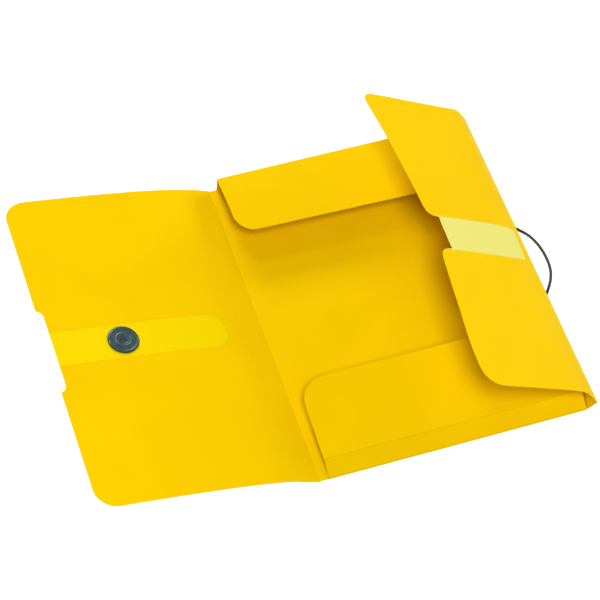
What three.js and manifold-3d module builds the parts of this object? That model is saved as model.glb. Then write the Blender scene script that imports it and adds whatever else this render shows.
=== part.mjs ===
// Elastic closure folder, lying open on its back panel.
//
// A4 document folder die-cut from one polypropylene sheet, creased into a back
// panel, a spine, a front cover, three gusset walls and three tuck flaps, with
// a round elastic held by two bar clips and a two-part button on the cover.
// Each panel between two creases is a solid of its own; a narrow gap stands
// for the crease, which bends there.
//
// Units are millimetres, +Z up. While the panels are laid out, X runs from the
// spine to the side gusset, Y from the bottom gusset to the top gusset, and
// x = 0, y = 0 is the lower left corner of the document space. The finished
// group is moved so that the origin is the centre of the back panel's
// underside.

import * as THREE from "three";
import { mergeVertices } from "three/addons/utils/BufferGeometryUtils.js";
import Module from "manifold-3d";

const wasm = await Module();
wasm.setup();

// ---- driving dimensions ---------------------------------------------------

const T = 0.6; // sheet thickness
const MID = T / 2; // mid surface of the panel that lies on the table
const GAP = 0.45; // from a crease line to the edge of each panel that meets it
const HEIGHT = 312; // back panel, bottom crease to top crease
const X_SPINE = -6.5; // crease between back panel and spine
const X_SIDE = 235.9; // crease between back panel and side gusset
const ORIGIN = [(X_SPINE + X_SIDE) / 2, HEIGHT / 2, 0];

const SPINE_WIDTH = 19.75;
const SPINE_ENDS = [-0.5, 312.8]; // y of its lower and upper end
const SPINE_TILT = 26.95; // degrees above the table

// front cover: section points (x, z) from the spine crease to the fore edge
const COVER_SECTION = [
  [-24.1, 9.3], [-29.5, 11.9], [-34.8, 14.2], [-40, 16.1], [-45, 17.9],
  [-50, 19.6], [-60, 22.7], [-70, 25.7], [-80, 28.4], [-90, 30.8],
  [-100, 33.3], [-110, 35.7], [-120, 38.0], [-130, 40.3], [-140, 42.4],
  [-150, 44.5], [-160, 46.7], [-170, 48.7], [-180, 50.5], [-195.6, 53.7],
];
const COVER_STEPS = [0, 6, 12, 18, 26, 36, 48, 62, 78, 95, 113, 132, 154, 177.8];
const COVER_DEPTH = 177.8; // along the sheet, spine crease to fore edge
const COVER_CORNER = 19;
// thumb notch in the fore edge: (y, s), s along the sheet from the crease
const COVER_NOTCH = [
  [198.9, 177.8], [197.4, 177.7], [196.6, 177.2], [195.5, 175.4],
  [194.2, 173.9], [192.4, 172.9], [189.6, 172.45], [186, 172.35],
  [170, 172.35], [154.8, 172.3], [138, 172.25], [122, 172.3],
  [118.6, 172.5], [117, 173], [115.6, 174.1], [114.5, 175.7],
  [113.7, 177.2], [112.4, 177.8],
];

const TOP_CREASE = [311.3, 17.8]; // (y, z) of the crease on top of the top gusset
const BOTTOM_CREASE = [14.3, 9.9];
const TOP_FLAP_RISE = 9.25; // degrees, towards the flap's free edge
const BOTTOM_FLAP_RISE = 10.25;
const BOTTOM_FOOT_GAP = 1.3; // the bottom gusset leans far in, so its crease gap is wider
const TOP_X = [0.5, 235.3]; // ends of the top gusset at its foot
const BOTTOM_X = [1.3, 235.3];
const WALL_END = 235.2; // right end of both gussets at the upper crease
// outlines (x, w), w along the flap from its crease
const TOP_FLAP = [
  [0, 0], [0.2, 39], [-0.1, 46], [-0.2, 51], [0.9, 57], [3.0, 62],
  [5.9, 66], [8.7, 68.6], [12.1, 70.4], [17, 71.2], [92, 72.6],
  [160, 74.4], [173, 75], [176.6, 74.2], [179, 72], [WALL_END, 0],
];
const BOTTOM_FLAP = [
  [1, 0], [0.8, 47], [1.2, 53], [2.6, 58.4], [5.6, 63.2], [9.9, 67.2],
  [14.9, 70.2], [20.6, 71.6], [27, 72], [172, 72], [176, 71.2], [178.6, 69],
  [WALL_END, 0],
];

const SIDE_CREASE = [240.2, 18.0]; // (x, z) of the crease on top of the side gusset
const SIDE_FLARE = -5.2; // y of that crease's lower end
const SIDE_TOP = 312.4; // and of its upper end
// side flap: slope of the sheet in degrees against the distance from its
// crease, at the lower end, the middle and the upper end of the crease
const FLAP_SLOPE = [
  { y: 0, knots: [[0, 50], [10, 48.5], [20, 44], [30, 38], [42, 34], [60, 32], [100, 30], [130, 28.5]] },
  { y: 156, knots: [[0, 51], [10, 49], [20, 43.5], [30, 36.5], [42, 33], [60, 32], [100, 30.5], [130, 29.5]] },
  { y: 312, knots: [[0, 60], [14, 58], [18, 48], [22, 37], [28, 32], [60, 32], [100, 31], [130, 30]] },
];
const FLAP_STEPS = [0, 5, 10, 15, 20, 25, 31, 39, 50, 65, 82, 100, 118, 136];
const FLAP_ROWS = [-8, 24, 66, 111, 156, 201, 240, 272, 296, 322];
// outline (y, s) of the side flap
const SIDE_FLAP = [
  [-5.2, 0], [-5, 2.6], [-3.4, 4.1], [-1.2, 6.4], [0.1, 9],
  [0.6, 12], [0.7, 16.5], [0.45, 20.5], [0, 26], [-0.4, 33],
  [-0.8, 40], [-1.2, 48], [-1.4, 56], [-1.6, 64], [-1.65, 75],
  [-1.7, 85], [-1.85, 95], [-2, 102], [-1.9, 108], [-1.6, 113],
  [-1.2, 117.4], [-0.5, 120], [0.5, 122.8], [2.1, 125.4], [4.1, 127.7],
  [6.4, 129.6], [8.9, 131.1], [11.7, 131.9], [15, 132.3], [20, 132.4],
  [27, 132.3], [34, 132.1], [41, 131.6], [50, 130.6], [60, 129.3],
  [75, 127.1], [90, 125.3], [105, 123.3], [117, 121.7], [123, 120.9],
  [129.3, 119.8], [134, 118.7], [137, 117.1], [138.7, 115.8], [139.9, 113.8],
  [140.9, 110.8], [142.2, 104.5], [146, 104.6], [155, 104.3], [165, 104.2],
  [171.2, 104], [176.3, 103.8], [176.9, 107.8], [177.5, 111], [179.2, 113.5],
  [181.5, 115.3], [184.4, 116.4], [188, 116.9], [194, 117.3], [208.7, 118.6],
  [226.4, 120.6], [244, 122.9], [259, 124.9], [273.9, 127.1], [285.5, 129.2],
  [294.6, 130.8], [300, 131.8], [304, 132.2], [307.6, 131.6], [310.2, 129.9],
  [312, 127], [312.8, 123.4], [312.9, 119], [312.9, 112], [312.9, 104],
  [312.7, 95], [312.5, 85], [312.5, 70], [312.5, 50], [312.7, 36],
  [313, 27], [313.2, 22], [313.4, 18], [313.2, 14], [313, 10],
  [313, 6], [312.9, 3], [312.4, 0],
];

// elastic: a round cord whose two ends leave the foot of the side gusset
const CORD_D = 2.7;
const CORD_AXIS = [236.3, 2.2]; // (x, z) where both ends start
const CORD_ENDS = [198.5, 115.7]; // y of the upper and the lower end
const CORD_PATH = [
  [236.3, 198.5, 2.2], [238.8, 198.5, 2.17], [240.7, 198.27, 2.08],
  [242.5, 197.6, 1.92], [244.1, 196.55, 1.74], [245.45, 195.2, 1.56],
  [247.3, 192.95, 1.42], [251.5, 188.1, 1.4], [255, 183, 1.4],
  [257.8, 176.4, 1.4], [259.75, 168.7, 1.4], [260.8, 159.7, 1.4],
  [260.6, 150, 1.4], [258.8, 140.8, 1.4], [255.45, 133.2, 1.4],
  [251.35, 126.75, 1.4], [247.2, 121.3, 1.42], [245.28, 118.97, 1.56],
  [244, 117.6, 1.74], [242.43, 116.56, 1.92], [240.67, 115.91, 2.08],
  [238.8, 115.7, 2.17], [236.3, 115.7, 2.2],
];
const SLOT_WIDTH = 5.6; // slots in the side gusset that the cord passes through
const SLOT_HEIGHT = 8.2;
const CLIP_BAR_D = 2.2;
const CLIP_BAR_L = 12;
const CLIP_X = 232.3; // centre of the bar
const CLIP_NECK_END = 234.7;

// button on the front cover
const BUTTON_Y = 156.1;
const BUTTON_S = 111.8;
const DISC_R = 13.8;
const DISC_H = 1.3;
const PIN_R = 4;
const STEM_R = 7.5;
const STEM_H = 3.0; // room for the elastic under the cap
const CAP_R = 12.5;
const CAP_H = 2.8;
const FIT = 0.3; // clearance between neighbouring pieces

// ---- helpers --------------------------------------------------------------

const RAD = Math.PI / 180;

// A closed three.js geometry as a solid for joining and cutting.
function solid(geometry) {
  const g = geometry.clone();
  g.deleteAttribute("normal");
  g.deleteAttribute("uv");
  const merged = mergeVertices(g, 1e-4);
  return new wasm.Manifold(
    new wasm.Mesh({
      numProp: 3,
      vertProperties: new Float32Array(merged.attributes.position.array),
      triVerts: new Uint32Array(merged.index.array),
    }),
  );
}

// A solid back to a three.js geometry.
function geometryOf(made) {
  const m = made.getMesh();
  const position = new Float32Array(m.numVert * 3);
  for (let i = 0; i < m.numVert; i++)
    position.set(m.vertProperties.subarray(i * m.numProp, i * m.numProp + 3), i * 3);
  const g = new THREE.BufferGeometry();
  g.setAttribute("position", new THREE.BufferAttribute(position, 3));
  g.setIndex(new THREE.BufferAttribute(new Uint32Array(m.triVerts), 1));
  g.computeVertexNormals();
  return g;
}

function shapeOf(points) {
  return new THREE.Shape(points.map(([a, b]) => new THREE.Vector2(a, b)));
}

// A flat plate of the sheet: outline (a, b) laid on the axes u and v from a
// point of the mid surface, half the thickness to each side.
function plate(outline, origin, u, v) {
  const g = new THREE.ExtrudeGeometry(shapeOf(outline), {
    depth: T,
    bevelEnabled: false,
  });
  g.translate(0, 0, -T / 2);
  const U = new THREE.Vector3(...u).normalize();
  const V = new THREE.Vector3(...v).normalize();
  const N = new THREE.Vector3().crossVectors(U, V);
  const m = new THREE.Matrix4().makeBasis(U, V, N);
  m.setPosition(...origin);
  return g.applyMatrix4(m);
}

// A vertical prism over a plan outline (x, y).
function prism(outline, low, high) {
  const g = new THREE.ExtrudeGeometry(shapeOf(outline), {
    depth: high - low,
    bevelEnabled: false,
  });
  return g.translate(0, 0, low);
}

// A curved sheet: rows[j][i] = { p: (x, z), n: (x, z) normal } at ys[j].
function curvedSlab(rows, ys) {
  const nj = rows.length;
  const ni = rows[0].length;
  const position = [];
  for (const side of [1, -1])
    for (let j = 0; j < nj; j++)
      for (let i = 0; i < ni; i++) {
        const { p, n } = rows[j][i];
        position.push(p[0] + (side * n[0] * T) / 2, ys[j], p[1] + (side * n[1] * T) / 2);
      }
  const at = (side, j, i) => side * nj * ni + j * ni + i;
  const index = [];
  const quad = (a, b, c, d) => index.push(a, b, c, a, c, d);
  for (let j = 0; j + 1 < nj; j++)
    for (let i = 0; i + 1 < ni; i++) {
      quad(at(0, j, i), at(0, j + 1, i), at(0, j + 1, i + 1), at(0, j, i + 1));
      quad(at(1, j, i), at(1, j, i + 1), at(1, j + 1, i + 1), at(1, j + 1, i));
    }
  for (let j = 0; j + 1 < nj; j++) {
    quad(at(0, j, 0), at(1, j, 0), at(1, j + 1, 0), at(0, j + 1, 0));
    quad(at(0, j, ni - 1), at(0, j + 1, ni - 1), at(1, j + 1, ni - 1), at(1, j, ni - 1));
  }
  for (let i = 0; i + 1 < ni; i++) {
    quad(at(0, 0, i), at(0, 0, i + 1), at(1, 0, i + 1), at(1, 0, i));
    quad(at(0, nj - 1, i), at(1, nj - 1, i), at(1, nj - 1, i + 1), at(0, nj - 1, i + 1));
  }
  const g = new THREE.BufferGeometry();
  g.setAttribute("position", new THREE.Float32BufferAttribute(position, 3));
  g.setIndex(index);
  const made = solid(g);
  if (made.volume() > 0) return made;
  const flipped = [];
  for (let k = 0; k < index.length; k += 3)
    flipped.push(index[k], index[k + 2], index[k + 1]);
  g.setIndex(flipped);
  return solid(g);
}

// A point on a polyline of (x, z) points at the length s from its start, with
// the unit normal on its upper side.
function walker(points) {
  const length = [0];
  for (let i = 1; i < points.length; i++)
    length.push(
      length[i - 1] +
        Math.hypot(points[i][0] - points[i - 1][0], points[i][1] - points[i - 1][1]),
    );
  return (s) => {
    let i = 0;
    while (i < points.length - 2 && length[i + 1] < s) i++;
    const k = (s - length[i]) / (length[i + 1] - length[i]);
    const [a, b] = [points[i], points[i + 1]];
    const d = [b[0] - a[0], b[1] - a[1]];
    const l = Math.hypot(d[0], d[1]);
    // both sheets run towards -x, so the upper side is on their right
    return { p: [a[0] + k * d[0], a[1] + k * d[1]], n: [d[1] / l, -d[0] / l] };
  };
}

// ---- front cover section --------------------------------------------------

const coverCurve = new THREE.SplineCurve(
  COVER_SECTION.map(([x, z]) => new THREE.Vector2(x, z)),
);
const coverFine = coverCurve.getPoints(400).map((p) => [p.x, p.y]);
const coverAt = walker(coverFine);

// ---- side flap section ----------------------------------------------------

function slopeAt(knots, s) {
  let i = 0;
  while (i < knots.length - 2 && knots[i + 1][0] < s) i++;
  const k = Math.min(1, (s - knots[i][0]) / (knots[i + 1][0] - knots[i][0]));
  return knots[i][1] + k * (knots[i + 1][1] - knots[i][1]);
}

function flapSlope(y, s) {
  const [low, mid, high] = FLAP_SLOPE;
  const [a, b] = y < mid.y ? [low, mid] : [mid, high];
  let k = Math.min(1, Math.max(0, (y - a.y) / (b.y - a.y)));
  k = k * k * (3 - 2 * k);
  return (1 - k) * slopeAt(a.knots, s) + k * slopeAt(b.knots, s);
}

const flapWalkers = new Map();
function flapAt(y, s) {
  const key = Math.round(y * 100);
  if (!flapWalkers.has(key)) {
    const points = [[...SIDE_CREASE]];
    for (let t = 0; t < 140; t += 0.5) {
      const a = flapSlope(y, t + 0.25) * RAD;
      const [x, z] = points[points.length - 1];
      points.push([x - 0.5 * Math.cos(a), z + 0.5 * Math.sin(a)]);
    }
    flapWalkers.set(key, walker(points));
  }
  return flapWalkers.get(key)(s);
}

// ---- the panels -----------------------------------------------------------

// Back panel: its edge steps back by the crease gap where a gusset meets it.
const backPanel = plate(
  [
    [X_SPINE + GAP, 0],
    [BOTTOM_X[0] - 0.3, 0],
    [BOTTOM_X[0] - 0.3, BOTTOM_FOOT_GAP],
    [X_SIDE - GAP, BOTTOM_FOOT_GAP],
    [X_SIDE - GAP, HEIGHT - GAP],
    [TOP_X[0] - 0.3, HEIGHT - GAP],
    [TOP_X[0] - 0.3, HEIGHT],
    [X_SPINE + GAP, HEIGHT],
  ],
  [0, 0, MID],
  [1, 0, 0],
  [0, 1, 0],
);

// Spine: from the back panel's left crease up to the cover's crease.
const spineDir = [-Math.cos(SPINE_TILT * RAD), 0, Math.sin(SPINE_TILT * RAD)];
const spinePanel = plate(
  [
    [SPINE_ENDS[0], GAP],
    [SPINE_ENDS[1], GAP],
    [SPINE_ENDS[1], SPINE_WIDTH - GAP],
    [SPINE_ENDS[0], SPINE_WIDTH - GAP],
  ],
  [X_SPINE, 0, MID],
  [0, 1, 0],
  spineDir,
);

// Front cover: a gently bowed sheet cut to its plan outline.
const coverRow = [GAP, ...COVER_STEPS.slice(1, -1), COVER_DEPTH + 3].map((s) => coverAt(s));
const coverSlab = curvedSlab([coverRow, coverRow], [-5, HEIGHT + 5]);
function roundCorner(cy, cs, r, from, to, steps) {
  const out = [];
  for (let i = 0; i <= steps; i++) {
    const a = (from + ((to - from) * i) / steps) * RAD;
    out.push([cy + r * Math.cos(a), cs + r * Math.sin(a)]);
  }
  return out;
}
const coverOutline = [
  [0, -4],
  [HEIGHT, -4],
  ...roundCorner(HEIGHT - COVER_CORNER, COVER_DEPTH - COVER_CORNER, COVER_CORNER, 0, 90, 8),
  ...COVER_NOTCH,
  ...roundCorner(COVER_CORNER, COVER_DEPTH - COVER_CORNER, COVER_CORNER, 90, 180, 8),
].map(([y, s]) => (s < 0 ? [COVER_SECTION[0][0] - s, y] : [coverAt(s).p[0], y]));
const button = coverAt(BUTTON_S);
const buttonFrame = new THREE.Matrix4().makeBasis(
  new THREE.Vector3(button.n[1], 0, -button.n[0]),
  new THREE.Vector3(0, 1, 0),
  new THREE.Vector3(button.n[0], 0, button.n[1]),
);
buttonFrame.setPosition(button.p[0], BUTTON_Y, button.p[1]);
const coverHole = new THREE.CylinderGeometry(PIN_R + FIT, PIN_R + FIT, 6, 24)
  .rotateX(Math.PI / 2)
  .applyMatrix4(buttonFrame);
const frontCover = geometryOf(
  coverSlab.intersect(solid(prism(coverOutline.reverse(), -20, 90))).subtract(solid(coverHole)),
);

// Gusset walls. The top one stands almost upright, the bottom one leans in,
// the side one leans out and is a little taller, so that its flap closes over
// the other two.
const topDir = [0, TOP_CREASE[0] - HEIGHT, TOP_CREASE[1] - MID];
const topHeight = Math.hypot(topDir[1], topDir[2]);
const topGusset = plate(
  [
    [TOP_X[0], GAP],
    [TOP_X[1], GAP],
    [WALL_END, topHeight - GAP],
    [TOP_X[0], topHeight - GAP],
  ],
  [0, HEIGHT, MID],
  [1, 0, 0],
  topDir,
);
const bottomDir = [0, BOTTOM_CREASE[0], BOTTOM_CREASE[1] - MID];
const bottomHeight = Math.hypot(bottomDir[1], bottomDir[2]);
const bottomGusset = plate(
  [
    [BOTTOM_X[0], BOTTOM_FOOT_GAP],
    [BOTTOM_X[1], BOTTOM_FOOT_GAP],
    [WALL_END, bottomHeight - GAP],
    [BOTTOM_X[0], bottomHeight - GAP],
  ],
  [0, 0, MID],
  [1, 0, 0],
  bottomDir,
);

// The side gusset has a slot at its foot for each end of the elastic.
const sideDir = [SIDE_CREASE[0] - X_SIDE, 0, SIDE_CREASE[1] - MID];
const sideHeight = Math.hypot(sideDir[0], sideDir[2]);
function slot(y) {
  const r = SLOT_WIDTH / 2;
  const out = [[y - r, GAP], [y - r, SLOT_HEIGHT - r]];
  for (let i = 1; i < 6; i++) {
    const a = (180 - 30 * i) * RAD;
    out.push([y + r * Math.cos(a), SLOT_HEIGHT - r + r * Math.sin(a)]);
  }
  out.push([y + r, SLOT_HEIGHT - r], [y + r, GAP]);
  return out;
}
const sideGusset = plate(
  [
    [0, GAP],
    ...slot(CORD_ENDS[1]),
    ...slot(CORD_ENDS[0]),
    [HEIGHT, GAP],
    [SIDE_TOP, sideHeight - GAP],
    [SIDE_FLARE, sideHeight - GAP],
  ],
  [X_SIDE, 0, MID],
  [0, 1, 0],
  sideDir,
);

// Tuck flaps along the top and bottom gussets.
function tuckFlap(outline, crease, inward, rise) {
  const v = [0, inward * Math.cos(rise * RAD), Math.sin(rise * RAD)];
  const cut = outline.map(([x, w]) => [x, Math.max(w, GAP)]);
  return plate(cut, [0, crease[0], crease[1]], [1, 0, 0], v);
}
const topFlap = tuckFlap(TOP_FLAP, TOP_CREASE, -1, TOP_FLAP_RISE);
const bottomFlap = tuckFlap(BOTTOM_FLAP, BOTTOM_CREASE, 1, BOTTOM_FLAP_RISE);

// Side flap: it stands up from the side gusset and bends over.
const flapRows = FLAP_ROWS.map((y) =>
  FLAP_STEPS.map((s) => flapAt(y, s === 0 ? GAP : s)),
);
const flapSlab = curvedSlab(flapRows, FLAP_ROWS);
const flapOutline = SIDE_FLAP.map(([y, s]) =>
  s === 0 ? [SIDE_CREASE[0] + 3, y] : [flapAt(y, s).p[0], y],
);
const sideFlap = geometryOf(flapSlab.intersect(solid(prism(flapOutline.reverse(), 0, 120))));

// ---- button ---------------------------------------------------------------

function lathe(profile, segments) {
  // profile (radius, height), height along the local +Z
  const g = new THREE.LatheGeometry(
    profile.map(([r, h]) => new THREE.Vector2(r, h)),
    segments,
  );
  return g.rotateX(Math.PI / 2);
}

// A solid of revolution, turned so that its faces point out.
function turned(profile, segments) {
  const g = lathe(profile, segments);
  let made = solid(g);
  if (made.volume() < 0) made = solid(lathe([...profile].reverse(), segments));
  return geometryOf(made).applyMatrix4(buttonFrame);
}

// Inner disc: a raised rim, a shallow ring and a dimple; a socket underneath.
const d0 = T / 2 + FIT;
const buttonDisc = turned(
  [
    [0, d0 + 0.5], [PIN_R + FIT, d0 + 0.5], [PIN_R + FIT, d0], [DISC_R - 0.3, d0],
    [DISC_R, d0 + 0.4], [DISC_R, d0 + DISC_H - 0.5], [DISC_R - 0.5, d0 + DISC_H],
    [DISC_R - 1.6, d0 + DISC_H], [DISC_R - 2.4, d0 + DISC_H - 0.25],
    [7.2, d0 + DISC_H - 0.22], [6.7, d0 + DISC_H - 0.08], [5.9, d0 + DISC_H - 0.08],
    [5.2, d0 + DISC_H - 0.26], [1.6, d0 + DISC_H - 0.3], [0, d0 + DISC_H - 0.36],
  ],
  40,
);

// Outer cap, on a stem that the elastic hooks under, with the pin that passes
// through the cover into the disc's socket.
const buttonCap = turned(
  [
    [0, d0 + 0.2], [PIN_R - 0.3, d0 + 0.2], [PIN_R, d0 - 0.1], [PIN_R, -d0],
    [STEM_R, -d0], [STEM_R - 0.5, -d0 - 0.7], [STEM_R - 0.5, -d0 - STEM_H],
    [CAP_R - 0.4, -d0 - STEM_H], [CAP_R, -d0 - STEM_H - 0.5],
    [CAP_R - 0.3, -d0 - STEM_H - 1.2], [CAP_R - 2.2, -d0 - STEM_H - 2.1],
    [8, -d0 - STEM_H - CAP_H + 0.15], [4, -d0 - STEM_H - CAP_H], [0, -d0 - STEM_H - CAP_H],
  ],
  36,
);

// ---- elastic and its clips ------------------------------------------------

const cordCurve = new THREE.CatmullRomCurve3(
  CORD_PATH.map((p) => new THREE.Vector3(...p)),
  false,
  "centripetal",
);
const cordSection = new THREE.Shape();
for (let i = 0; i < 8; i++) {
  const a = ((i + 0.5) * Math.PI) / 4;
  const [px, py] = [(CORD_D / 2) * Math.cos(a), (CORD_D / 2) * Math.sin(a)];
  if (i === 0) cordSection.moveTo(px, py);
  else cordSection.lineTo(px, py);
}
cordSection.closePath();
const elasticLoop = new THREE.ExtrudeGeometry(cordSection, {
  steps: 28,
  bevelEnabled: false,
  extrudePath: cordCurve,
});

function clip(y) {
  const bar = new THREE.CapsuleGeometry(CLIP_BAR_D / 2, CLIP_BAR_L - CLIP_BAR_D, 4, 12);
  bar.translate(CLIP_X, y, CORD_AXIS[1]);
  const neck = new THREE.CylinderGeometry(1.3, 1.3, CLIP_NECK_END - CLIP_X, 12);
  neck.rotateZ(Math.PI / 2);
  neck.translate((CLIP_NECK_END + CLIP_X) / 2, y, CORD_AXIS[1]);
  return geometryOf(solid(bar).add(solid(neck)));
}

// ---- assembly -------------------------------------------------------------

const sheet = () =>
  new THREE.MeshStandardMaterial({ color: 0xfbd003, roughness: 0.48, metalness: 0 });
const slate = () =>
  new THREE.MeshStandardMaterial({ color: 0x4a5c64, roughness: 0.35, metalness: 0 });
const cord = () =>
  new THREE.MeshStandardMaterial({ color: 0x3a3e3c, roughness: 0.85, metalness: 0 });
const steel = () =>
  new THREE.MeshStandardMaterial({ color: 0xb8bbc0, roughness: 0.35, metalness: 1 });

const folder = new THREE.Group();
function add(name, geometry, material) {
  const mesh = new THREE.Mesh(geometry, material);
  mesh.name = name;
  folder.add(mesh);
}
add("back_panel", backPanel, sheet());
add("spine_panel", spinePanel, sheet());
add("front_cover", frontCover, sheet());
add("top_gusset", topGusset, sheet());
add("top_flap", topFlap, sheet());
add("bottom_gusset", bottomGusset, sheet());
add("bottom_flap", bottomFlap, sheet());
add("side_gusset", sideGusset, sheet());
add("side_flap", sideFlap, sheet());
add("button_disc", buttonDisc, slate());
add("button_cap", buttonCap, slate());
add("elastic_loop", elasticLoop, cord());
add("elastic_clip_upper", clip(CORD_ENDS[0]), steel());
add("elastic_clip_lower", clip(CORD_ENDS[1]), steel());
folder.position.set(-ORIGIN[0], -ORIGIN[1], -ORIGIN[2]);

const part = new THREE.Group();
part.add(folder);

export default part;
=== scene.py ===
"""Elastic closure folder, lying open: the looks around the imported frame."""

import math

import bmesh
import bpy
import numpy as np
from mathutils import Matrix, Vector


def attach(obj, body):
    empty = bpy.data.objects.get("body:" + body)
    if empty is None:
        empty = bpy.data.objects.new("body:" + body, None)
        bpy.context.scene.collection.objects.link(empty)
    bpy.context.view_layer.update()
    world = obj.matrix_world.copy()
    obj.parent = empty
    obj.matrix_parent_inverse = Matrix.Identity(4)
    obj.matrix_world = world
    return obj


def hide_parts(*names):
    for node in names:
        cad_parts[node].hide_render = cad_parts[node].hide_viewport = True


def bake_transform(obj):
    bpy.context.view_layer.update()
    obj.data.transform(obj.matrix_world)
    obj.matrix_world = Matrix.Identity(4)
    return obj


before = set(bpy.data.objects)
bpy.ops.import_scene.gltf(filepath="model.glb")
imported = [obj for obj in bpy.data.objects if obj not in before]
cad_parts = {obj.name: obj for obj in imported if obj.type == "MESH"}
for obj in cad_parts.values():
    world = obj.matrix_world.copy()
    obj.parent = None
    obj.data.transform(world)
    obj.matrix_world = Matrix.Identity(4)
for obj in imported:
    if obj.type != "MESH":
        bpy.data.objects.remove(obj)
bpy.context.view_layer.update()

# The layout frame of the part, in millimetres, and its origin in the row frame.
ORIGIN = np.array([114.7, 156.0, 0.0])
T = 0.6
MID = 0.3
GAP = 0.45
HEIGHT = 312.0
X_SPINE = -6.5
X_SIDE = 235.9


def row(p):
    """A layout point in millimetres as a point of the row frame in metres."""
    return (np.asarray(p, float) - ORIGIN) / 1000.0


# ---- camera -----------------------------------------------------------------

ROT = np.array(
    [
        [0.9470635561215114, -0.31696185682084677, 0.05104705659641705],
        [-0.23755265271958698, -0.7988063959136731, -0.5526998091489584],
        [0.2159614730741667, 0.5113154830122876, -0.8318155558653293],
    ]
)
TRANS = np.array([22.779640058052536, 149.9605291392305, 1873.5010232527668])
eye = row(-ROT.T @ TRANS)
cam_data = bpy.data.cameras.new("camera")
cam_data.lens = 2245.8886 * 36.0 / 600.0
cam_data.sensor_width = 36.0
cam_data.clip_start = 0.05
cam_data.clip_end = 50.0
camera = bpy.data.objects.new("camera", cam_data)
bpy.context.scene.collection.objects.link(camera)
m = np.eye(4)
m[:3, 0] = ROT[0]
m[:3, 1] = -ROT[1]
m[:3, 2] = -ROT[2]
m[:3, 3] = eye
camera.matrix_world = Matrix(m.tolist())
bpy.context.scene.camera = camera

# ---- mesh helpers -----------------------------------------------------------


def link(name, verts, faces, smooth_angle=35.0):
    mesh = bpy.data.meshes.new(name)
    mesh.from_pydata([tuple(v) for v in verts], [], faces)
    mesh.validate(verbose=False)
    bm = bmesh.new()
    bm.from_mesh(mesh)
    bmesh.ops.recalc_face_normals(bm, faces=bm.faces)
    bm.to_mesh(mesh)
    bm.free()
    obj = bpy.data.objects.new(name, mesh)
    bpy.context.scene.collection.objects.link(obj)
    mesh.shade_smooth()
    mesh.set_sharp_from_angle(angle=math.radians(smooth_angle))
    return obj


def set_attribute(obj, name, values, kind="FLOAT"):
    a = obj.data.attributes.new(name, kind, "POINT")
    if kind == "FLOAT":
        a.data.foreach_set("value", np.asarray(values, np.float32).ravel())
    else:
        a.data.foreach_set("vector", np.asarray(values, np.float32).ravel())


def catmull(points, per=6, closed=False):
    """A centripetal Catmull-Rom curve through 2D or 3D points."""
    p = [np.asarray(q, float) for q in points]
    n = len(p)
    out = []
    last = n if closed else n - 1
    for i in range(last):
        p1, p2 = p[i % n], p[(i + 1) % n]
        p0 = p[(i - 1) % n] if closed or i > 0 else 2 * p1 - p2
        p3 = p[(i + 2) % n] if closed or i + 2 < n else 2 * p2 - p1
        d1 = max(np.linalg.norm(p1 - p0) ** 0.5, 1e-6)
        d2 = max(np.linalg.norm(p2 - p1) ** 0.5, 1e-6)
        d3 = max(np.linalg.norm(p3 - p2) ** 0.5, 1e-6)
        t0, t1 = 0.0, d1
        t2, t3 = t1 + d2, t1 + d2 + d3
        for k in range(per):
            t = t1 + (t2 - t1) * k / per
            a1 = (t1 - t) / (t1 - t0) * p0 + (t - t0) / (t1 - t0) * p1
            a2 = (t2 - t) / (t2 - t1) * p1 + (t - t1) / (t2 - t1) * p2
            a3 = (t3 - t) / (t3 - t2) * p2 + (t - t2) / (t3 - t2) * p3
            b1 = (t2 - t) / (t2 - t0) * a1 + (t - t0) / (t2 - t0) * a2
            b2 = (t3 - t) / (t3 - t1) * a2 + (t - t1) / (t3 - t1) * a3
            out.append((t2 - t) / (t2 - t1) * b1 + (t - t1) / (t2 - t1) * b2)
    if not closed:
        out.append(p[-1])
    return out


def spaced(points, step):
    """The polyline resampled so that no two neighbours are much under step apart."""
    out = [points[0]]
    for q in points[1:-1]:
        if np.linalg.norm(np.asarray(q) - np.asarray(out[-1])) >= step:
            out.append(q)
    out.append(points[-1])
    return out


def arc(ca, cb, r, from_deg, to_deg, n):
    return [
        (
            ca + r * math.cos(math.radians(from_deg + (to_deg - from_deg) * i / n)),
            cb + r * math.sin(math.radians(from_deg + (to_deg - from_deg) * i / n)),
        )
        for i in range(n + 1)
    ]


def lines(lo, hi, step):
    n = max(1, int(round((hi - lo) / step)))
    return [lo + (hi - lo) * i / n for i in range(1, n)]


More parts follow.
